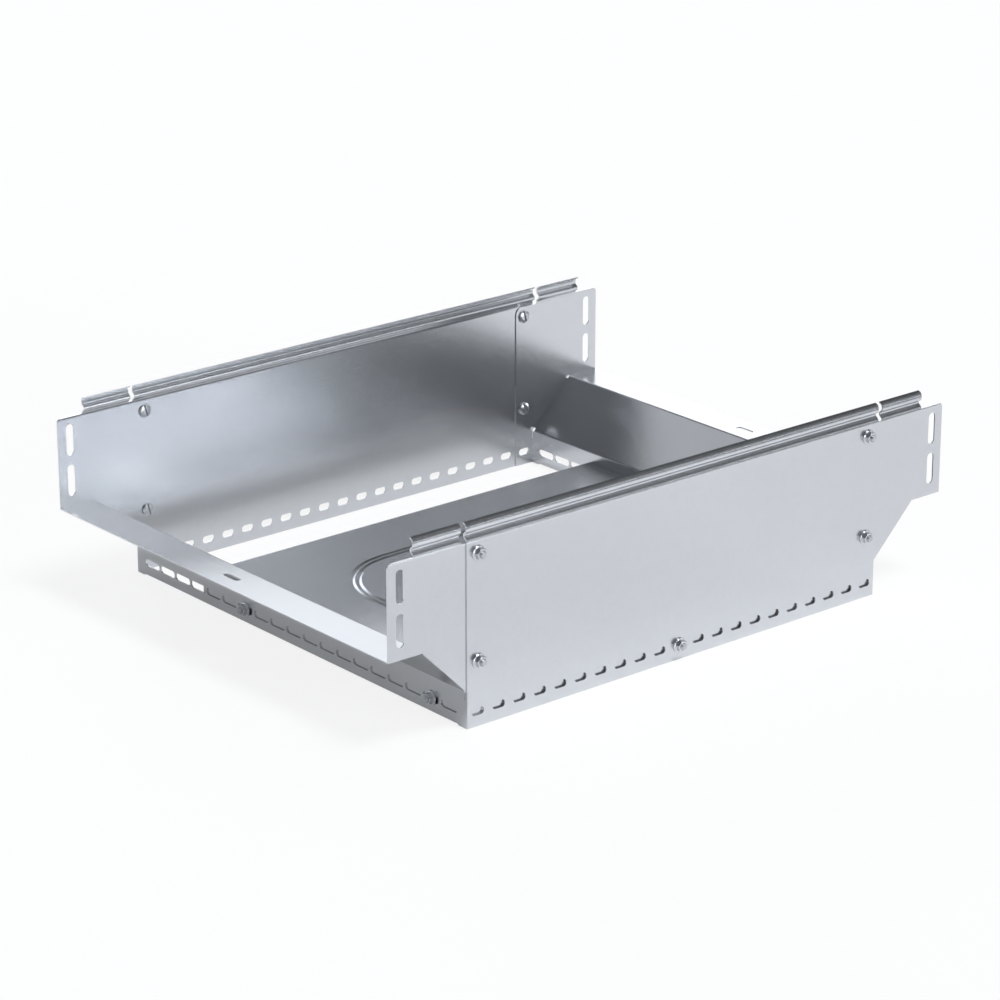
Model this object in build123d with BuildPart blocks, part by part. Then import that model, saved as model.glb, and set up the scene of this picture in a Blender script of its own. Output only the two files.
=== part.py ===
# Cable tray tee with a bottom outlet, bent from galvanised sheet steel.
#
# Two identical bent sheets face each other, turned half a turn about the
# vertical. Between them they make a square body with a run-in tray at each
# end. A floor plate with down-turned flanges closes the body's bottom, apart
# from the outlet that it leaves open along the back wall.
#
# Millimetres. +X along the cable run, +Y from the front wall to the back
# wall, +Z up. The origin is the centre of the body, on the plane that the
# bottom edges of the walls stand on.
from build123d import *
import os

os.makedirs("parts", exist_ok=True)

# Sheet and bends
sheet = 1.2
bend_radius = 2.5

# Body
body_width = 500.0
body_length = 500.0
bend_height = 35.0
strip_height = 84.0
plate_top = 174.0
corner_foot_width = 12.0
corner_foot_drop = 1.2
lower_relief = 3.5
lower_slit_width = 1.2
lower_slit_drop = 9.0
upper_relief = 2.0

# Run-in trays at both ends
tab_length = 86.0
slope_run = 49.0
overlap_length = 23.0
overlap_top_drop = 2.0
overlap_corner_radius = 8.0
tab_corner_radius = 4.0

# Lipped top rail: heights above the plate, depths inward from the wall
rail_foot = 1.2
rail_groove_depth = 3.7
rail_groove_low = 4.6
rail_groove_high = 6.4
rail_bead_depth = 0.2
rail_bead_low = 9.4
rail_bead_high = 13.2
rail_shoulder_depth = 1.4
rail_shoulder = 15.4
rail_lip_depth = 4.4
rail_height = 17.3
rail_bend_radius = 1.6
rail_gap = 5.0
rail_end_setback = 28.5

# Slots
slot_width = 7.0
slot_height = 14.0
wall_slot_length = 14.0
wall_slot_count = 21
wall_slot_pitch = body_length / wall_slot_count
end_slot_length = 23.0
end_slot_count = 19
end_slot_pitch = body_width / (end_slot_count + 1)
end_round_slots = (-9, -8, 8, 9)
tab_slot_width = 8.5
tab_slot_length = 31.0
tab_slot_spacing = 40.4
tab_slot_setback = 13.5
tab_slot_middle = 131.0
strip_slot_width = 7.0
strip_slot_length = 22.0

# Floor plate
floor_top = 25.2
floor_back_edge = 154.0
floor_flange_drop = 22.0
floor_flange_setback = 11.0
floor_corner_cut = 3.0
flange_bend_radius = 2.1
groove_outline_length = 330.0
groove_outline_width = 260.0
groove_outline_centre = -47.5
groove_outline_radius = 85.0
groove_width = 5.6
groove_ridge = 0.6
groove_depth = 1.1
groove_slope = 62.0

# Fasteners, M6
bolt_diameter = 6.0
bolt_hole_diameter = 6.6
bolt_head_diameter = 13.0
bolt_head_height = 3.0
bolt_rim_height = 0.6
bolt_head_slope = 45.0
bolt_point_length = 2.0
round_sides = 12
shank_sides = 8
nut_flange_diameter = 14.2
nut_flange_height = 1.2
nut_across_flats = 10.0
nut_height = 6.0
nut_bore_diameter = 6.1
wall_bolt_inset = 13.0
wall_bolt_low = 61.5
wall_bolt_spacing = 100.0
front_bolt_slot = 0
end_bolt_slots = (3, -8)

half_width = body_width / 2
half_length = body_length / 2
tab_end = half_length + tab_length
slope_top = half_length + slope_run
inner_wall = half_width - sheet
overlap_wall = inner_wall - sheet


# Outline of a long side wall, seen from the front, with its tab at the left
def wall_outline():
    return [
        (-tab_end, strip_height),
        (-slope_top, strip_height),
        (-half_length, bend_height),
        (-half_length, 0),
        (half_length, 0),
        (half_length, plate_top),
        (-tab_end, plate_top),
    ]


# Outline of the short side piece that carries the same end on the other side
def short_piece_outline():
    overlap_top = plate_top - overlap_top_drop
    overlap_end = -half_length + overlap_length
    return [
        (-tab_end, strip_height),
        (-slope_top, strip_height),
        (-half_length, bend_height),
        (-half_length, 0),
        (overlap_end, 0),
        (overlap_end, overlap_top),
        (-half_length - rail_gap, overlap_top),
        (-half_length - rail_gap, plate_top),
        (-tab_end, plate_top),
    ]


# Centre line of the rail's section: groove, bead, shoulder, lip
def rail_line(wall_face, inward):
    middle = wall_face + inward * sheet / 2
    return [
        (middle, plate_top - 0.5),
        (middle, plate_top + rail_foot),
        (middle + inward * rail_groove_depth, plate_top + rail_groove_low),
        (middle + inward * rail_groove_depth, plate_top + rail_groove_high),
        (middle + inward * rail_bead_depth, plate_top + rail_bead_low),
        (middle + inward * rail_bead_depth, plate_top + rail_bead_high),
        (middle + inward * rail_shoulder_depth, plate_top + rail_shoulder),
        (middle + inward * rail_lip_depth, plate_top + rail_height - sheet / 2),
    ]


# Slot for the long rows. It repeats nearly a hundred times, so its rounded
# ends are cut with three straight sides each
def row_slot(length, width):
    with BuildSketch(mode=Mode.PRIVATE) as slot:
        Rectangle(length, width)
        chamfer(slot.vertices(), 0.29 * width)
    return slot.sketch


# Outline of a bolt's clearance hole
def bolt_hole():
    with BuildSketch(mode=Mode.PRIVATE) as hole:
        RegularPolygon(bolt_hole_diameter / 2, round_sides, major_radius=False)
    return hole.sketch


# Back half
long_rail = (-half_length, half_length)
end_rail = (-tab_end + rail_end_setback, -half_length - rail_gap)

with BuildPart() as tee_half_back:
    # Long back wall, and the short piece across from it
    with BuildSketch(Plane.XZ.offset(-half_width)):
        with BuildLine():
            Polyline(*wall_outline(), close=True)
        make_face()
    extrude(amount=sheet)
    with BuildSketch(Plane.XZ.offset(inner_wall - sheet)):
        with BuildLine():
            Polyline(*short_piece_outline(), close=True)
        make_face()
    extrude(amount=sheet)

    # Floor strip, sloped plate and end plate, bent from one sheet
    with BuildSketch(Plane.XZ.offset(-inner_wall)):
        with BuildLine() as end_line:
            FilletPolyline(
                (-tab_end, strip_height + sheet / 2),
                (-slope_top + sheet * 0.21, strip_height + sheet / 2),
                (-half_length + sheet / 2, bend_height + sheet * 0.21),
                (-half_length + sheet / 2, 0),
                radius=bend_radius,
            )
        trace(end_line.edges(), line_width=sheet)
    extrude(amount=inner_wall + overlap_wall)

    # Lipped rails along both top edges
    for start, end in (long_rail, end_rail):
        with BuildSketch(Plane.YZ.offset(start)):
            with BuildLine() as back_line:
                FilletPolyline(*rail_line(half_width, -1), radius=rail_bend_radius)
            trace(back_line.edges(), line_width=sheet)
        extrude(amount=end - start)
    with BuildSketch(Plane.YZ.offset(end_rail[0])):
        with BuildLine() as short_line:
            FilletPolyline(*rail_line(-inner_wall, 1), radius=rail_bend_radius)
        trace(short_line.edges(), line_width=sheet)
    extrude(amount=end_rail[1] - end_rail[0])

    # Rounded tab corners and overlap corner
    upright = tee_half_back.edges().filter_by(Axis.Y)
    tab_corners = upright.filter_by_position(Axis.X, -tab_end - 0.01, -tab_end + 0.01)
    fillet(tab_corners.filter_by_position(Axis.Z, plate_top - 1, plate_top + 1), tab_corner_radius)
    overlap_end = -half_length + overlap_length
    overlap_edges = tee_half_back.edges().filter_by(Axis.Y)
    overlap_edges = overlap_edges.filter_by_position(Axis.X, overlap_end - 0.01, overlap_end + 0.01)
    fillet(overlap_edges.sort_by(Axis.Z)[-1], overlap_corner_radius)

    # Shallow recess under the end plate, leaving a foot at each corner
    with Locations((-half_length + sheet / 2, (half_width - inner_wall) / 2, 0)):
        Box(
            sheet * 2,
            body_width - 2 * corner_foot_width,
            2 * corner_foot_drop,
            mode=Mode.SUBTRACT,
        )

    # Reliefs at both ends of the bends, with a slit down from the lower one
    for wall_face, inward in ((inner_wall, -1), (-overlap_wall, 1)):
        with Locations((-half_length, wall_face + inward * lower_relief / 2, bend_height + 1)):
            Box(8 * sheet, lower_relief, lower_relief, mode=Mode.SUBTRACT)
        with Locations((-half_length, wall_face + inward * lower_slit_width / 2, bend_height)):
            Box(
                4 * sheet,
                lower_slit_width,
                lower_slit_drop,
                align=(Align.CENTER, Align.CENTER, Align.MAX),
                mode=Mode.SUBTRACT,
            )
        with Locations((-slope_top, wall_face + inward * upper_relief / 2, strip_height)):
            Box(3 * upper_relief, upper_relief, 4 * sheet, mode=Mode.SUBTRACT)

    # Slot row along the foot of the back wall
    with BuildSketch(Plane.XZ.offset(-half_width)):
        with Locations((0, slot_height)):
            with GridLocations(wall_slot_pitch, 1, wall_slot_count, 1):
                add(row_slot(wall_slot_length, slot_width))
    extrude(amount=sheet, mode=Mode.SUBTRACT)

    # The same row's first slot, through the overlapping short piece
    with BuildSketch(Plane.XZ.offset(inner_wall)):
        with Locations((-wall_slot_pitch * (wall_slot_count - 1) / 2, slot_height)):
            add(row_slot(wall_slot_length, slot_width))
    extrude(amount=-sheet, mode=Mode.SUBTRACT)

    # Slot row along the foot of the end plate. The outer slots of the row
    # take the bolts of the tray below, and their ends are round
    with BuildSketch(Plane.YZ.offset(-half_length)):
        for step in range(-(end_slot_count // 2), end_slot_count // 2 + 1):
            with Locations((step * end_slot_pitch, slot_height)):
                if step in end_round_slots:
                    SlotOverall(end_slot_length, slot_width)
                else:
                    add(row_slot(end_slot_length, slot_width))
    extrude(amount=sheet, mode=Mode.SUBTRACT)

    # Coupling slots in both tabs
    with BuildSketch(Plane.XZ.offset(-half_width)):
        with Locations((-tab_end + tab_slot_setback, tab_slot_middle)):
            with GridLocations(1, tab_slot_spacing, 1, 2):
                SlotOverall(tab_slot_length, tab_slot_width, rotation=90)
    extrude(amount=body_width, mode=Mode.SUBTRACT)

    # Fixing slot in the floor strip
    with BuildSketch(Plane.XY.offset(strip_height)):
        with Locations(Location((-(tab_end + slope_top) / 2, 0), 90)):
            add(row_slot(strip_slot_length, strip_slot_width))
    extrude(amount=sheet, mode=Mode.SUBTRACT)

    # Bolt holes: the overlap and its opposite corner, through every layer
    with BuildSketch(Plane.XZ.offset(-half_width)):
        with Locations((0, wall_bolt_low + wall_bolt_spacing / 2)):
            with GridLocations(2 * (half_length - wall_bolt_inset), wall_bolt_spacing, 2, 2):
                add(bolt_hole())
    extrude(amount=body_width, mode=Mode.SUBTRACT)
tee_half_back.part.label = "tee_half_back"
export_step(tee_half_back.part, "parts/tee_half_back.step")

# Front half: the same sheet, turned half a turn
with BuildPart() as tee_half_front:
    add(tee_half_back.part, rotation=(0, 0, 180))
tee_half_front.part.label = "tee_half_front"
export_step(tee_half_front.part, "parts/tee_half_front.step")

# Floor plate
floor_half_length = half_length - sheet

floor_middle = floor_top - sheet / 2
flange_foot = floor_top - floor_flange_drop
plate_front = -overlap_wall
flange_back = floor_back_edge - floor_flange_setback
flange_front = plate_front + floor_corner_cut

with BuildPart() as floor_plate:
    # Plate with a flange bent down against each end plate
    with BuildSketch(Plane.XZ.offset(-flange_back)):
        with BuildLine() as cross_line:
            FilletPolyline(
                (-floor_half_length + sheet / 2, flange_foot),
                (-floor_half_length + sheet / 2, floor_middle),
                (floor_half_length - sheet / 2, floor_middle),
                (floor_half_length - sheet / 2, flange_foot),
                radius=flange_bend_radius,
            )
        trace(cross_line.edges(), line_width=sheet)
    extrude(amount=flange_back - flange_front)

    # Flange bent down against the front wall
    front_length = floor_half_length - floor_corner_cut
    with BuildSketch(Plane.YZ.offset(-front_length)):
        with BuildLine() as front_line:
            FilletPolyline(
                (plate_front + sheet / 2, flange_foot),
                (plate_front + sheet / 2, floor_middle),
                (plate_front + 10 * sheet, floor_middle),
                radius=flange_bend_radius,
            )
        trace(front_line.edges(), line_width=sheet)
    extrude(amount=2 * front_length)

    # Flat tongue between the end plates, behind the side flanges
    with BuildSketch(Plane.XY.offset(floor_top - sheet)):
        with Locations((0, (flange_back + floor_back_edge) / 2)):
            Rectangle(2 * floor_half_length, floor_back_edge - flange_back)
    extrude(amount=sheet)

    # Two grooves side by side, pressed down along a rounded rectangle. The
    # pressing shows below the plate as one low rib
    bead_width = 2 * groove_width + groove_ridge
    for face, start, width, mode in (
        (floor_top - sheet, -sheet / 2, bead_width + sheet, Mode.ADD),
        (floor_top, 0, groove_width, Mode.SUBTRACT),
        (floor_top, groove_width + groove_ridge, groove_width, Mode.SUBTRACT),
    ):
        downward = Plane(origin=(0, groove_outline_centre, face), z_dir=(0, 0, -1))
        with BuildSketch(downward):
            RectangleRounded(
                groove_outline_length - 2 * start,
                groove_outline_width - 2 * start,
                groove_outline_radius - start,
            )
            RectangleRounded(
                groove_outline_length - 2 * (start + width),
                groove_outline_width - 2 * (start + width),
                groove_outline_radius - start - width,
                mode=Mode.SUBTRACT,
            )
        extrude(amount=groove_depth, taper=groove_slope, mode=mode)

    # Bolt holes in the front flange and in both side flanges
    with BuildSketch(Plane.XZ.offset(-plate_front - sheet)):
        with Locations((front_bolt_slot * wall_slot_pitch, slot_height)):
            add(bolt_hole())
    extrude(amount=sheet, mode=Mode.SUBTRACT)
    with BuildSketch(Plane.YZ.offset(-floor_half_length)):
        for slot in end_bolt_slots:
            with Locations((slot * end_slot_pitch, slot_height)):
                add(bolt_hole())
    extrude(amount=2 * floor_half_length, mode=Mode.SUBTRACT)
floor_plate.part.label = "floor_plate"
export_step(floor_plate.part, "parts/floor_plate.step")

# Places where a bolt passes: point on the innermost face, and the turn that
# points the shank outward
wall_bolt_x = half_length - wall_bolt_inset
double_places = []
single_places = []
for level in (wall_bolt_low, wall_bolt_low + wall_bolt_spacing):
    for side in (-1, 1):
        double_places.append(Location((side * wall_bolt_x, side * overlap_wall, level), (-90 * side, 0, 0)))
        single_places.append(Location((-side * wall_bolt_x, side * inner_wall, level), (-90 * side, 0, 0)))
front_bolt_x = front_bolt_slot * wall_slot_pitch
front_place = Location((front_bolt_x, -overlap_wall + sheet, slot_height), (90, 0, 0))
for slot in end_bolt_slots:
    for side in (-1, 1):
        end_bolt_x = side * (floor_half_length - sheet)
        double_places.append(Location((end_bolt_x, slot * end_slot_pitch, slot_height), (0, 90 * side, 0)))


# Bolt with a low rounded head, for the thickness that it clamps. Bolts and
# nuts repeat, so what is round on them is cut with a few flat sides
def bolt_for(grip):
    with BuildPart() as bolt:
        # Rim and crown of the head, downward from the seat
        with BuildSketch(Plane(origin=(0, 0, 0), z_dir=(0, 0, -1))):
            RegularPolygon(bolt_head_diameter / 2, round_sides, major_radius=False)
        extrude(amount=bolt_rim_height)
        with BuildSketch(Plane(origin=(0, 0, -bolt_rim_height), z_dir=(0, 0, -1))):
            RegularPolygon(bolt_head_diameter / 2, round_sides, major_radius=False)
        extrude(amount=bolt_head_height - bolt_rim_height, taper=bolt_head_slope)
        # Shank
        with BuildSketch():
            RegularPolygon(bolt_diameter / 2, shank_sides)
        extrude(amount=grip + nut_height + bolt_point_length)
    return bolt.part


double_bolt = bolt_for(2 * sheet)
single_bolt = bolt_for(sheet)
front_bolt = bolt_for(3 * sheet)

with BuildPart() as bolts:
    with Locations(front_place):
        add(front_bolt)
    with Locations(*double_places):
        add(double_bolt)
    with Locations(*single_places):
        add(single_bolt)
bolts.part.label = "bolts"
export_step(bolts.part, "parts/bolts.step")

# Flange nuts, outside the tray
with BuildPart() as flange_nut:
    with BuildSketch():
        RegularPolygon(nut_flange_diameter / 2, round_sides, major_radius=False)
    extrude(amount=nut_flange_height)
    with BuildSketch():
        RegularPolygon(nut_across_flats / 2, 6, major_radius=False)
    extrude(amount=nut_height)
    with BuildSketch():
        RegularPolygon(nut_bore_diameter / 2, shank_sides, major_radius=False)
    extrude(amount=nut_height, mode=Mode.SUBTRACT)

with BuildPart() as flange_nuts:
    with Locations(front_place * Pos(0, 0, 3 * sheet)):
        add(flange_nut.part)
    with Locations(*[place * Pos(0, 0, 2 * sheet) for place in double_places]):
        add(flange_nut.part)
    with Locations(*[place * Pos(0, 0, sheet) for place in single_places]):
        add(flange_nut.part)
flange_nuts.part.label = "flange_nuts"
export_step(flange_nuts.part, "parts/flange_nuts.step")
print("pieces built")
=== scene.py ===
# %% [markdown]
# # A cable tray tee in galvanised sheet steel
#
# The object is a fitting for a cable tray run: two bent steel sheets that are
# bolted into a square body, with a floor plate that leaves an outlet along one
# wall. The bent sheets and the floor plate come ready made from the CAD
# model. This script gives them the finish of zinc-coated steel, makes the
# bolts and nuts with their threads, and sets up the camera, floor and light.

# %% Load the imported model
import bpy
import math
from mathutils import Matrix, Vector


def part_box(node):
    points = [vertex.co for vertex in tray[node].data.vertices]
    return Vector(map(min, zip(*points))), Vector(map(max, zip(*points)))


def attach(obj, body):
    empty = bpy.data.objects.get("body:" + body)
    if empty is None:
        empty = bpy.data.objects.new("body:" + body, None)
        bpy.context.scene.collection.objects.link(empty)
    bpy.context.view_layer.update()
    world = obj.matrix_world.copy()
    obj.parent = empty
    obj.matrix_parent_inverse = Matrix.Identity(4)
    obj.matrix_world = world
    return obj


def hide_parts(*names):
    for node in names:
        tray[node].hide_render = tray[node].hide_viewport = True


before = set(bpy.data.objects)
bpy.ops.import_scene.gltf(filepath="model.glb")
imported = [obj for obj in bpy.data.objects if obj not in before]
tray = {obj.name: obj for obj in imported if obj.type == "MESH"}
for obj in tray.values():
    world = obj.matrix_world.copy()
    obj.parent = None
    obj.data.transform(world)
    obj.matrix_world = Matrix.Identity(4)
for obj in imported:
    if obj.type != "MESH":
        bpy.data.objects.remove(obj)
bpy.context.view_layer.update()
print("CAD nodes:", sorted(tray))

# %% [markdown]
# ## The camera
#
# The straight edges of the tray were measured in the photograph, and a camera
# was fitted to them. It stands about 3.6 m away with a long lens, in front of
# the left end, so parallel edges hardly converge. Its axes are written out as
# three vectors, because they come from that fit and not from an aim point.

# %% Camera at the photograph's place
camera_place = Vector((-2.142949, -2.549081, 1.295963))
camera_right = Vector((0.765786, -0.643095, -0.000362))
camera_up = Vector((0.220095, 0.261556, 0.939759))
camera_back = camera_right.cross(camera_up)

camera_data = bpy.data.cameras.new("tray_camera")
camera_data.sensor_width = 36.0
camera_data.lens = 134.0
camera_data.clip_start = 0.1
camera_data.clip_end = 50.0
camera = bpy.data.objects.new("tray_camera", camera_data)
turn = Matrix((camera_right, camera_up, camera_back)).transposed()
camera.matrix_world = Matrix.Translation(camera_place) @ turn.to_4x4()
bpy.context.scene.collection.objects.link(camera)
bpy.context.scene.camera = camera
print("camera distance in m:", round(camera_place.length, 3))

# %% [markdown]
# ## Node graphs written as Python
#
# A finish or a shape made from nodes is mostly a few formulas. Drawing each
# Math node by hand hides them, so a small class wraps a socket and turns
# + - * / into Math nodes. It has the reflected forms too, so 1 - mask works.
# Any other node comes from one method that takes the node's type, its
# settings, which are set first, and what goes into its sockets.

# %% A socket that can be added and multiplied
class Value:
    def __init__(self, graph, socket):
        self.graph = graph
        self.socket = socket

    def math(self, operation, *terms):
        return self.graph.math(operation, *terms)

    def __add__(self, other): return self.math("ADD", self, other)
    def __radd__(self, other): return self.math("ADD", other, self)
    def __sub__(self, other): return self.math("SUBTRACT", self, other)
    def __rsub__(self, other): return self.math("SUBTRACT", other, self)
    def __mul__(self, other): return self.math("MULTIPLY", self, other)
    def __rmul__(self, other): return self.math("MULTIPLY", other, self)
    def __truediv__(self, other): return self.math("DIVIDE", self, other)
    def __rtruediv__(self, other): return self.math("DIVIDE", other, self)
    def __mod__(self, other): return self.math("FLOORED_MODULO", self, other)
    def cos(self): return self.math("COSINE", self)
    def sin(self): return self.math("SINE", self)
    def floor(self): return self.math("FLOOR", self)
    def size(self): return self.math("ABSOLUTE", self)
    def lower(self, other): return self.math("MINIMUM", self, other)


# %% A graph of nodes
class Graph:
    def __init__(self, tree):
        self.tree = tree

    def plug(self, socket, value):
        if isinstance(value, Value):
            self.tree.links.new(value.socket, socket)
        elif socket.type == "RGBA":
            socket.default_value = tuple(value)[:3] + (1.0,)
        else:
            socket.default_value = value

    def node(self, kind, settings=None, sockets=None, output=0):
        made = self.tree.nodes.new(kind)
        for name, value in (settings or {}).items():
            if name == "choices":
                while len(made.index_switch_items) < value:
                    made.index_switch_items.new()
            else:
                setattr(made, name, value)
        for name, value in (sockets or {}).items():
            self.plug(made.inputs[name], value)
        return Value(self, made.outputs[output])

    def math(self, operation, *terms):
        return self.node("ShaderNodeMath", {"operation": operation}, dict(enumerate(terms)))

    def ramp(self, value, low, high, curve="SMOOTHSTEP"):
        sockets = {"Value": value, "From Min": low, "From Max": high}
        return self.node("ShaderNodeMapRange", {"interpolation_type": curve}, sockets)


# %% A material's graph
class Finish(Graph):
    def __init__(self, name):
        self.material = bpy.data.materials.new(name)
        self.material.use_nodes = True
        super().__init__(self.material.node_tree)
        self.tree.nodes.clear()
        self.surface = self.tree.nodes.new("ShaderNodeBsdfPrincipled")
        self.output = self.tree.nodes.new("ShaderNodeOutputMaterial")
        self.tree.links.new(self.surface.outputs[0], self.output.inputs["Surface"])

    def place(self, scale=(1.0, 1.0, 1.0)):
        position = self.node("ShaderNodeTexCoord", output="Object")
        return self.node("ShaderNodeMapping", sockets={"Vector": position, "Scale": scale})

    def noise(self, scale, detail, stretch=(1.0, 1.0, 1.0)):
        sockets = {"Vector": self.place(stretch), "Scale": scale, "Detail": detail}
        return self.node("ShaderNodeTexNoise", sockets=sockets)

    def blend(self, amount, first, second):
        sockets = {0: amount, 6: first, 7: second}
        return self.node("ShaderNodeMix", {"data_type": "RGBA"}, sockets, output=2)

    def surface_of(self, **values):
        for name, value in values.items():
            self.plug(self.surface.inputs[name.replace("_", " ")], value)
        return self.material


print("graph helpers ready")

# %% [markdown]
# ## The rounding of the rolled rail
#
# The top of each long wall is rolled into a rail: foot, groove, bead, shoulder
# and lip. The CAD model has them as flat strips with rounded corners, and a
# roller leaves softer curves between them. The rail's shape stays that of the
# CAD. A bump only turns its mirror image a little, stretch by stretch. Each
# stretch begins with one slope and ends with another, so its height is a
# quadratic curve. The two sides of the sheet take it with opposite signs.

# %% The rounding of the rolled rail
wall_top = 0.17395

# Each stretch's lowest and highest point over the wall's top, in metres, and
# its slope at those two points
rail_bends = {
    "foot": (-0.0026, 0.0012, 0.0, 0.46),
    "lower bead": (0.0092, 0.0118, 0.0, 0.26),
    "upper bead": (0.0118, 0.0133, 0.30, 0.60),
    "shoulder": (0.0133, 0.0155, 0.06, 0.32),
}


def rolled_rail(finish):
    def part_of(coordinates, axis):
        vector = finish.node("ShaderNodeTexCoord", output=coordinates)
        return finish.node("ShaderNodeSeparateXYZ", sockets={"Vector": vector}, output=axis)

    level = part_of("Object", "Z") - wall_top
    outward = part_of("Normal", "Y") * part_of("Object", "Y")

    def bent(low, high, start, end):
        length = high - low
        along = finish.ramp(level, low, high, "LINEAR")
        return along * (length * start) + along * along * (length * (end - start) / 2)

    bulge = sum(bent(*stretch) for stretch in rail_bends.values())
    outside = finish.math("GREATER_THAN", outward, 0.0) * 2.0 - 1.0
    sockets = {"Strength": 1.0, "Distance": 1.0, "Height": outside * bulge * -1.0}
    return finish.node("ShaderNodeBump", sockets=sockets)


print("rounded stretches of the rail:", ", ".join(rail_bends))

# %% [markdown]
# ## Zinc-coated sheet
#
# Tray sheet is dipped in zinc before it is bent. The coating is a satin grey:
# faint crystals a few millimetres wide, cloudy patches, and fine lines from
# the rolling mill along the sheet. A metal has no colour of its own under
# that, only a tint on what it mirrors. So the finish is fully metallic and
# nearly neutral, and all the variation is small.

# %% The finish of the bent sheets
def zinc_sheet(name, tint, roughness, roll):
    finish = Finish(name)
    cells = finish.node(
        "ShaderNodeTexVoronoi",
        {"feature": "F1"},
        {"Vector": finish.place(), "Scale": 320.0},
        output="Color",
    )
    spangle = finish.node("ShaderNodeSeparateColor", sockets={"Color": cells})
    clouds = finish.noise(9.0, 4.0)
    rolling = finish.noise(60.0, 2.0, roll)
    shade = 0.35 * spangle + 0.45 * clouds + 0.2 * rolling
    light_tint = tuple(1.02 * v for v in tint)
    dark_tint = tuple(0.98 * v for v in tint)
    colour = finish.blend(finish.ramp(shade, 0.2, 0.8), dark_tint, light_tint)
    bump = finish.node(
        "ShaderNodeBump",
        sockets={
            "Strength": 0.02,
            "Distance": 0.0004,
            "Height": 0.6 * rolling + 0.4 * clouds,
            "Normal": rolled_rail(finish),
        },
    )
    return finish.surface_of(
        Base_Color=colour,
        Metallic=1.0,
        Roughness=roughness + 0.04 * (shade - 0.5),
        Normal=bump,
    )


rolled_lengthwise = (0.05, 1.0, 1.0)
wall_finish = zinc_sheet("zinc_sheet_walls", (0.606, 0.617, 0.634), 0.25, rolled_lengthwise)
floor_finish = zinc_sheet("zinc_sheet_floor", (0.606, 0.617, 0.632), 0.26, rolled_lengthwise)
for node, finish in (
    ("tee_half_back", wall_finish),
    ("tee_half_front", wall_finish),
    ("floor_plate", floor_finish),
):
    tray[node].data.materials.clear()
    tray[node].data.materials.append(finish)
print("sheet finishes:", wall_finish.name, floor_finish.name)

# %% [markdown]
# ## Zinc on the fasteners
#
# Bolts and nuts are plated after they are made. The nuts are smoother than
# the sheet, and the bolts are duller and darker. Both have a faint blue tint,
# and the plating dulls in patches, which shows as a slow change of colour and
# roughness.

# %% The finish of bolts and nuts
def zinc_plating(name, dull_tint, bright_tint, roughness):
    plating = Finish(name)
    dull = plating.noise(260.0, 3.0)
    return plating.surface_of(
        Base_Color=plating.blend(dull, bright_tint, dull_tint),
        Metallic=1.0,
        Roughness=roughness + 0.08 * dull,
    )


nut_plating = zinc_plating(
    "zinc_plated_nuts",
    dull_tint=(0.58, 0.59, 0.61),
    bright_tint=(0.64, 0.65, 0.67),
    roughness=0.17,
)
bolt_plating = zinc_plating(
    "zinc_plated_bolts",
    dull_tint=(0.46, 0.47, 0.49),
    bright_tint=(0.52, 0.53, 0.55),
    roughness=0.26,
)
print("fastener finishes:", nut_plating.name, bolt_plating.name)

# %% [markdown]
# ## A recipe for turned parts
#
# A bolt and a nut are turned parts: a profile goes round an axis. Here a flat
# grid is rolled up. Each row of the grid is one point of the profile, and
# each column is one step round the axis. A radius may also depend on the
# angle, which makes the six flats of a nut, or on angle and height together,
# which makes a thread. The columns at the start and the end meet, and
# Merge by Distance closes the seam and the poles.

# %% A geometry graph with named sizes
weld_distance = 1e-6


class Recipe(Graph):
    def __init__(self, name, sizes):
        super().__init__(bpy.data.node_groups.new(name, "GeometryNodeTree"))
        interface = self.tree.interface
        for label, default in sizes.items():
            socket = interface.new_socket(label, in_out="INPUT", socket_type="NodeSocketFloat")
            socket.default_value = default
        interface.new_socket("Shape", in_out="OUTPUT", socket_type="NodeSocketGeometry")
        self.given = self.tree.nodes.new("NodeGroupInput")
        self.result = self.tree.nodes.new("NodeGroupOutput")

    def sizes(self, *labels):
        return [Value(self, self.given.outputs[label]) for label in labels]

    def rolled(self, rows, steps, shape):
        vertices = {"Vertices X": steps + 1, "Vertices Y": rows}
        grid = self.node("GeometryNodeMeshGrid", sockets=vertices)
        index = self.node("GeometryNodeInputIndex")
        angle = (index / rows).floor() * (2 * math.pi / steps)
        radius, height = shape(index % rows, angle)
        place = {"X": radius * angle.cos(), "Y": radius * angle.sin(), "Z": height}
        position = self.node("ShaderNodeCombineXYZ", sockets=place)
        sockets = {"Geometry": grid, "Position": position}
        return self.node("GeometryNodeSetPosition", sockets=sockets)

    def turned(self, profile, steps):
        def pick(row, values):
            sockets = {"Index": row, **{k + 1: value for k, value in enumerate(values)}}
            settings = {"data_type": "FLOAT", "choices": len(profile)}
            return self.node("GeometryNodeIndexSwitch", settings, sockets)

        def shape(row, angle):
            radii = [size(angle) if callable(size) else size for size, height in profile]
            return pick(row, radii), pick(row, [height for size, height in profile])

        return self.rolled(len(profile), steps, shape)

    def joined(self, *shapes):
        made = self.tree.nodes.new("GeometryNodeJoinGeometry")
        for shape in shapes:
            self.tree.links.new(shape.socket, made.inputs[0])
        return Value(self, made.outputs[0])

    def welded(self, shape):
        sockets = {"Geometry": shape, "Distance": weld_distance}
        return self.node("GeometryNodeMergeByDistance", sockets=sockets)

    def finish(self, shape):
        self.tree.links.new(shape.socket, self.result.inputs["Shape"])
        return self.tree


print("recipe for turned parts ready")

# %% [markdown]
# ## The flange nut
#
# The nuts sit on the outside of the sheets. Each has a thin round flange and
# a hexagon above it. The top corners of a hexagon nut are turned off by a
# cone, which leaves a curved edge on each flat: the radius is the smaller of
# hexagon and cone at every angle.

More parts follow.
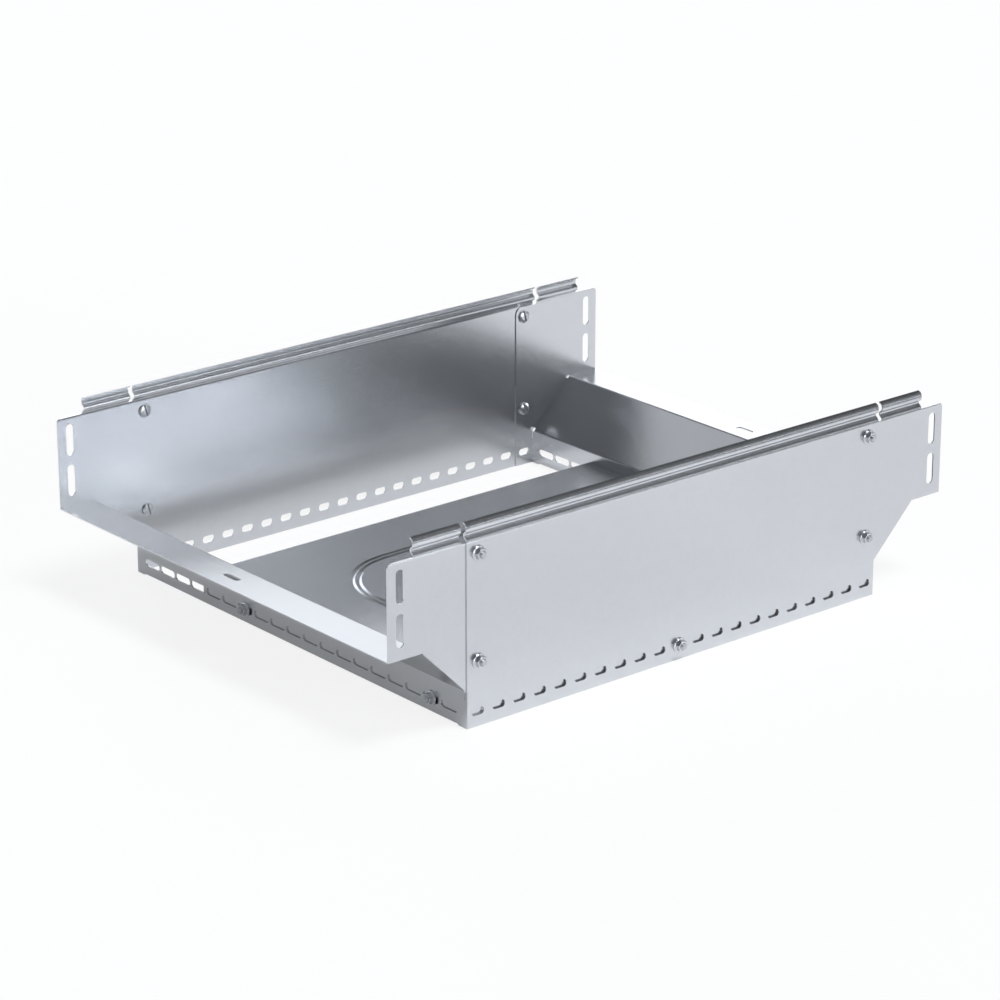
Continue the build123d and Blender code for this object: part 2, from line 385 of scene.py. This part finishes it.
# %% Flange nut
def flange_nut():
    nut = Recipe("flange_nut", {
        "Across Flats": 0.010, "Height": 0.006, "Flange Diameter": 0.0142,
        "Flange Height": 0.0012, "Bore": 0.0061, "Edge": 0.0003,
    })
    across, top, flange_across, step, bore_across, edge = nut.sizes(
        "Across Flats", "Height", "Flange Diameter", "Flange Height", "Bore", "Edge")
    flat = across / 2
    flange = flange_across / 2
    bore = bore_across / 2
    sixth = math.pi / 3
    cone_radius = 0.95
    cone_slope = 1.73
    chamfer = 1.5 * edge

    def hexagon(angle):
        return flat / (angle % sixth - sixth / 2).cos()

    def cut_corner(drop):
        return lambda angle: hexagon(angle).lower(flat * cone_radius + drop * cone_slope)

    foot = [(bore, 0.0), (flange - edge, 0.0), (flange, edge), (flange, step - edge)]
    shoulder = [(flange - edge, step), (lambda angle: hexagon(angle) + edge, step + edge)]
    body = [(hexagon, step + 2 * edge)]
    corner_drops = (0.0013, 0.0010, 0.0007, 0.0004, 0.0002, 0.0)
    corners = [(cut_corner(drop), top - drop) for drop in corner_drops]
    hole = [(bore + chamfer, top), (bore, top - chamfer), (bore, 0.0)]
    profile = foot + shoulder + body + corners + hole
    return nut.finish(nut.welded(nut.turned(profile, steps=72)))


nut_recipe = flange_nut()
print("nut recipe nodes:", len(nut_recipe.nodes))

# %% [markdown]
# ## The slotted bolt
#
# The bolts come from inside the tray, so a cable never meets a nut. Each has
# a low head, nearly flat with a rounded edge and a screwdriver slot, and a
# thread that ends just outside its nut. The thread is a triangle wave that
# climbs one pitch for each turn. At the tip it is cut by a cone, as a real
# thread is, and at the start it fades out. The slot is a bar taken away from
# the head.

# %% Slotted bolt
def slotted_bolt():
    bolt = Recipe("slotted_bolt", {
        "Shank Diameter": 0.006, "Pitch": 0.001, "Grip": 0.0024, "Nut Height": 0.006,
        "Point Length": 0.002, "Point Chamfer": 0.0007, "Head Diameter": 0.013,
        "Head Height": 0.0028, "Rim Height": 0.0014, "Slot Width": 0.0020,
        "Slot Depth": 0.0020, "Slot Turn": math.radians(75),
    })
    shank_across, pitch, grip, nut_height, point, chamfer = bolt.sizes(
        "Shank Diameter", "Pitch", "Grip", "Nut Height", "Point Length", "Point Chamfer")
    head_across, crown, rim = bolt.sizes("Head Diameter", "Head Height", "Rim Height")
    slot_width, slot_depth, slot_turn = bolt.sizes("Slot Width", "Slot Depth", "Slot Turn")
    shank = shank_across / 2
    head = head_across / 2
    tip = grip + nut_height + point
    steps = 40
    thread_rows = 81
    thread_depth = 0.55
    fade_in = 12

    def thread_radius(height, angle, fade=1.0):
        climb = (height / pitch - angle / (2 * math.pi)) % 1.0
        valley = (climb - 0.5).size() * 2
        return shank - valley * fade * pitch * thread_depth

    dome_rows = 8
    dome = []
    for k in range(dome_rows + 1):
        out = k / dome_rows
        dome.append((head * out, (rim - crown) * (1 - out ** 4) - rim))
    turned_head = bolt.turned(dome + [(head, 0.0), (shank, 0.0), (shank, grip)], steps)

    def thread(row, angle):
        along = row / (thread_rows - 1.0)
        height = grip + along * (tip - grip)
        point_cone = shank - chamfer + (tip - height)
        ridge = thread_radius(height, angle, (along * fade_in).lower(1.0))
        return ridge.lower(point_cone), height

    def end_radius(angle):
        return thread_radius(tip, angle).lower(shank - chamfer)

    threaded = bolt.rolled(thread_rows, steps, thread)
    end_face = bolt.turned([(end_radius, tip), (0.0, tip)], steps)
    solid = bolt.welded(bolt.joined(turned_head, threaded, end_face))

    def vector(**axes):
        return bolt.node("ShaderNodeCombineXYZ", sockets=axes)

    bar_height = 0.004
    bar_size = vector(X=head * 3, Y=slot_width, Z=bar_height)
    bar = bolt.node("GeometryNodeMeshCube", sockets={"Size": bar_size})
    bar = bolt.node("GeometryNodeTransform", sockets={
        "Geometry": bar,
        "Translation": vector(Z=slot_depth - crown - bar_height / 2),
        "Rotation": vector(Z=slot_turn),
    })
    settings = {"operation": "DIFFERENCE", "solver": "EXACT"}
    meshes = {"Mesh 1": solid, "Mesh 2": bar}
    return bolt.finish(bolt.node("GeometryNodeMeshBoolean", settings, meshes))


bolt_recipe = slotted_bolt()
print("bolt recipe nodes:", len(bolt_recipe.nodes))

# %% [markdown]
# ## Where the fasteners go
#
# Thirteen bolts hold the tray together. Eight stand in pairs near the ends of
# the long walls, four join the floor plate to the end plates, and one joins
# it to the front wall. Each place has the point on the innermost sheet, the
# turn that points the shank outward, and the number of sheets it clamps.

# %% Fastener places
sheet = 0.0012
wall_face = 0.250
bolt_line = wall_face - 0.013
bolt_levels = (0.0615, 0.1615)
slot_row = 0.014
end_slot_pitch = 0.025
end_bolt_slots = (3, -8)
quarter = math.pi / 2


def inside(layers):
    return wall_face - layers * sheet


places = [((0.0, -inside(3), slot_row), (quarter, 0.0, 0.0), 3)]
for level in bolt_levels:
    for side in (-1, 1):
        outward = (-side * quarter, 0.0, 0.0)
        places.append(((side * bolt_line, side * inside(2), level), outward, 2))
        places.append(((-side * bolt_line, side * inside(1), level), outward, 1))
for slot in end_bolt_slots:
    for side in (-1, 1):
        outward = (0.0, side * quarter, 0.0)
        places.append(((side * inside(2), slot * end_slot_pitch, slot_row), outward, 2))
print("fastener places:", len(places))

# %% [markdown]
# ## Setting the fasteners in their places
#
# A second graph puts the finished shapes on the points. Every point carries
# its turn and its number of sheets as attributes. A bolt for each number of
# sheets from none to three goes in as a choice, and the point's number picks
# one. The instances are made real at the end, because an exported model keeps
# only plain meshes.

# %% Points with attributes
def fastener_points(name, lift_by_grip):
    mesh = bpy.data.meshes.new(name)
    points = []
    for place, turn, layers in places:
        axis = Vector((math.sin(turn[1]), -math.sin(turn[0]), 0.0))
        points.append(Vector(place) + axis * (layers * sheet if lift_by_grip else 0.0))
    mesh.from_pydata([tuple(p) for p in points], [], [])
    mesh.attributes.new("turn", "FLOAT_VECTOR", "POINT")
    mesh.attributes.new("layers", "INT", "POINT")
    for k, (place, turn, layers) in enumerate(places):
        mesh.attributes["turn"].data[k].vector = turn
        mesh.attributes["layers"].data[k].value = layers
    cloud = bpy.data.objects.new(name, mesh)
    bpy.context.scene.collection.objects.link(cloud)
    return cloud


# %% Placing graph
def placing_recipe(name, part_tree, label, choices, material):
    recipe = Recipe(name, {"Sheet": sheet, "Turn": 0.0})
    interface = recipe.tree.interface
    points = interface.new_socket("Points", in_out="INPUT", socket_type="NodeSocketGeometry")
    interface.move(points, 0)
    thickness, own_turn = recipe.sizes("Sheet", "Turn")
    cloud = Value(recipe, recipe.given.outputs["Points"])
    variants = []
    # The shape that is linked last becomes the pile's first choice
    for layers in reversed(range(choices)):
        sockets = {label: thickness * float(layers)} if label else {}
        variants.append(recipe.node("GeometryNodeGroup", {"node_tree": part_tree}, sockets))
    pile = recipe.tree.nodes.new("GeometryNodeGeometryToInstance")
    for variant in variants:
        recipe.tree.links.new(variant.socket, pile.inputs[0])

    def attribute(name, kind):
        settings = {"data_type": kind}
        return recipe.node("GeometryNodeInputNamedAttribute", settings, {"Name": name})

    def rotation(euler):
        return recipe.node("FunctionNodeEulerToRotation", sockets={"Euler": euler})

    own = recipe.node("ShaderNodeCombineXYZ", sockets={"Z": own_turn})
    facing = recipe.node(
        "FunctionNodeRotateRotation",
        {"rotation_space": "LOCAL"},
        {"Rotation": rotation(attribute("turn", "FLOAT_VECTOR")), "Rotate By": rotation(own)},
    )
    placed = recipe.node("GeometryNodeInstanceOnPoints", sockets={
        "Points": cloud,
        "Instance": Value(recipe, pile.outputs[0]),
        "Pick Instance": True,
        "Instance Index": attribute("layers", "INT") if choices > 1 else 0,
        "Rotation": facing,
    })
    real = recipe.node("GeometryNodeRealizeInstances", sockets={"Geometry": placed})
    sockets = {"Geometry": real, "Material": material}
    return recipe.finish(recipe.node("GeometryNodeSetMaterial", sockets=sockets))


# %% Turning a graph's result into a plain mesh
def made_real(name, cloud, tree, sharp_angle, **inputs):
    modifier = cloud.modifiers.new("place", "NODES")
    modifier.node_group = tree
    for item in tree.interface.items_tree:
        if item.in_out == "INPUT" and item.name in inputs:
            modifier[item.identifier] = inputs[item.name]
    depsgraph = bpy.context.evaluated_depsgraph_get()
    mesh = bpy.data.meshes.new_from_object(cloud.evaluated_get(depsgraph))
    cloud.modifiers.clear()
    bpy.data.objects.remove(cloud)
    mesh.name = name
    mesh.shade_smooth()
    mesh.set_sharp_from_angle(angle=math.radians(sharp_angle))
    piece = bpy.data.objects.new(name, mesh)
    bpy.context.scene.collection.objects.link(piece)
    return piece


bolt_tree = placing_recipe("bolts_in_place", bolt_recipe, "Grip", 4, bolt_plating)
nut_tree = placing_recipe("nuts_in_place", nut_recipe, None, 1, nut_plating)
bolt_points = fastener_points("bolt_points", lift_by_grip=False)
nut_points = fastener_points("nut_points", lift_by_grip=True)
bolt_piece = made_real("slotted_bolts", bolt_points, bolt_tree, sharp_angle=30)
nut_piece = made_real(
    "hexagon_flange_nuts", nut_points, nut_tree, sharp_angle=25, Turn=math.radians(45))


def in_mm(point):
    return [round(1000 * v, 2) for v in point]


for piece, node in ((bolt_piece, "bolts"), (nut_piece, "flange_nuts")):
    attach(piece, "root")
    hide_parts(node)
    low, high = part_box(node)
    corners = [piece.matrix_world @ Vector(c) for c in piece.bound_box]
    print(piece.name, "polygons:", len(piece.data.polygons))
    print("    piece, low in mm:", in_mm(min(c[k] for c in corners) for k in range(3)))
    print("    piece, high in mm:", in_mm(max(c[k] for c in corners) for k in range(3)))
    print("    CAD node in mm:", in_mm(low), in_mm(high))

# %% [markdown]
# ## Floor
#
# The photograph is a packshot on plain white. The floor is a large sheet of
# pale paper. What the camera sees of it is mostly white light of its own, and
# the rest is lit by the lamps, so the tray still casts its soft shadow. The
# metal mirrors the paper a little lighter than the lamps leave it.

# %% Floor
floor_reach = 14.0
white_to_camera = 0.85
white_to_mirrors = 0.20
floor_mesh = bpy.data.meshes.new("studio_floor")
sides = ((-1, -1), (1, -1), (1, 1), (-1, 1))
floor_corners = [(x * floor_reach, y * floor_reach, 0.0) for x, y in sides]
floor_mesh.from_pydata(floor_corners, [], [(0, 1, 2, 3)])
floor = bpy.data.objects.new("studio_floor", floor_mesh)
bpy.context.scene.collection.objects.link(floor)

paper = Finish("studio_paper")
paper.surface_of(Base_Color=(0.88, 0.88, 0.88), Roughness=1.0, Specular_IOR_Level=0.0)
white_light = paper.tree.nodes.new("ShaderNodeEmission")
white_light.inputs["Color"].default_value = (1.0, 1.0, 1.0, 1.0)
ray = paper.tree.nodes.new("ShaderNodeLightPath")
seen = Value(paper, ray.outputs["Is Camera Ray"])
mirrored = Value(paper, ray.outputs["Is Glossy Ray"])
through = Value(paper, ray.outputs["Is Transmission Ray"])
mixed = paper.tree.nodes.new("ShaderNodeMixShader")
own_light = white_to_camera * (seen + through) + white_to_mirrors * mirrored
paper.plug(mixed.inputs[0], own_light)
paper.tree.links.new(paper.surface.outputs[0], mixed.inputs[1])
paper.tree.links.new(white_light.outputs[0], mixed.inputs[2])
paper.tree.links.new(mixed.outputs[0], paper.output.inputs["Surface"])
floor_mesh.materials.append(paper.material)
print("floor reaches in m:", floor_reach)

# %% [markdown]
# ## Light
#
# Bare metal shows its surroundings more than its own colour, so the light is
# arranged as for a packshot of metal. A narrow bright panel stands behind the
# tray, with two weaker ones beside it, and turns the flat strips white. A wide
# low panel in front, with a weaker one above it, lights the paper that the
# front wall mirrors, and a lamp hangs high on the same side. Weak panels at
# the sides, two windows and a soft ceiling keep the metal from going black
# when the tray is seen from elsewhere. The rest of the studio is dim, and the
# sheets that face it go dark, which shows the bends. All of it is painted
# into the world with soft borders, in a slightly cool white.

# %% World
world = bpy.data.worlds.new("studio")
bpy.context.scene.world = world
world.use_nodes = True
studio = Graph(world.node_tree)
direction = studio.node("ShaderNodeTexCoord", output="Generated")


def sine(degrees):
    return math.sin(math.radians(degrees))


def cosine(degrees):
    return math.cos(math.radians(degrees))


def vector_math(operation, *terms, output=0):
    settings = {"operation": operation}
    return studio.node("ShaderNodeVectorMath", settings, dict(enumerate(terms)), output)


# An upright panel around the tray, by its azimuth and half width, the heights
# between which it stands, all in degrees, and its strength
def panel(azimuth, half_width, low, high, strength, soft=5.0):
    forward = (cosine(azimuth), sine(azimuth), 0.0)
    level = vector_math("NORMALIZE", vector_math("MULTIPLY", direction, (1.0, 1.0, 0.0)))
    facing = vector_math("DOT_PRODUCT", level, forward, output="Value")
    across = studio.ramp(facing, cosine(half_width + soft), cosine(half_width - soft))
    above = studio.ramp(height, sine(low - soft), sine(low + soft))
    below = 1.0 - studio.ramp(height, sine(high - soft), sine(high + soft))
    return strength * across * above * below


# A round lamp overhead, bright up to its inner angle and dark from its outer
def lamp(azimuth, elevation, inner, outer, strength):
    reach = cosine(elevation)
    centre = (cosine(azimuth) * reach, sine(azimuth) * reach, sine(elevation))
    facing = vector_math("DOT_PRODUCT", direction, centre, output="Value")
    return strength * studio.ramp(facing, cosine(outer), cosine(inner))


height = studio.node("ShaderNodeSeparateXYZ", sockets={"Vector": direction}, output="Z")
cool_white = (0.966, 0.996, 1.045)
dim_room = 0.05
back_panel = panel(68.0, 7.0, -12.0, 28.0, 8.0)
back_side = panel(52.0, 14.0, -12.0, 28.0, 1.5, soft=6.0)
back_low = panel(56.0, 14.0, -12.0, 13.0, 3.0)
front_panel = panel(279.0, 15.6, -12.0, 12.0, 18.0)
front_upper = panel(286.0, 13.0, 12.0, 30.0, 4.2)
overhead = lamp(290.0, 68.5, 7.5, 12.5, 20.0)
side_panel = panel(335.0, 15.0, 12.0, 30.0, 1.1)
left_panel = panel(115.0, 20.0, 28.0, 48.0, 0.65)
ceiling = 0.35 * studio.ramp(height, sine(57.0), sine(80.0))
left_window = panel(185.0, 35.0, 8.0, 50.0, 0.40, soft=10.0)
right_window = panel(5.0, 15.0, 5.0, 30.0, 0.35)
panels = back_panel + back_side + back_low + front_panel + front_upper
panels = panels + side_panel + left_panel + left_window + right_window
brightness = dim_room + panels + overhead + ceiling
background = world.node_tree.nodes["Background"]
studio.plug(background.inputs["Color"], cool_white)
studio.plug(background.inputs["Strength"], brightness)
print("world nodes:", len(world.node_tree.nodes))

# %% Plain view transform
bpy.context.scene.view_settings.view_transform = "Standard"
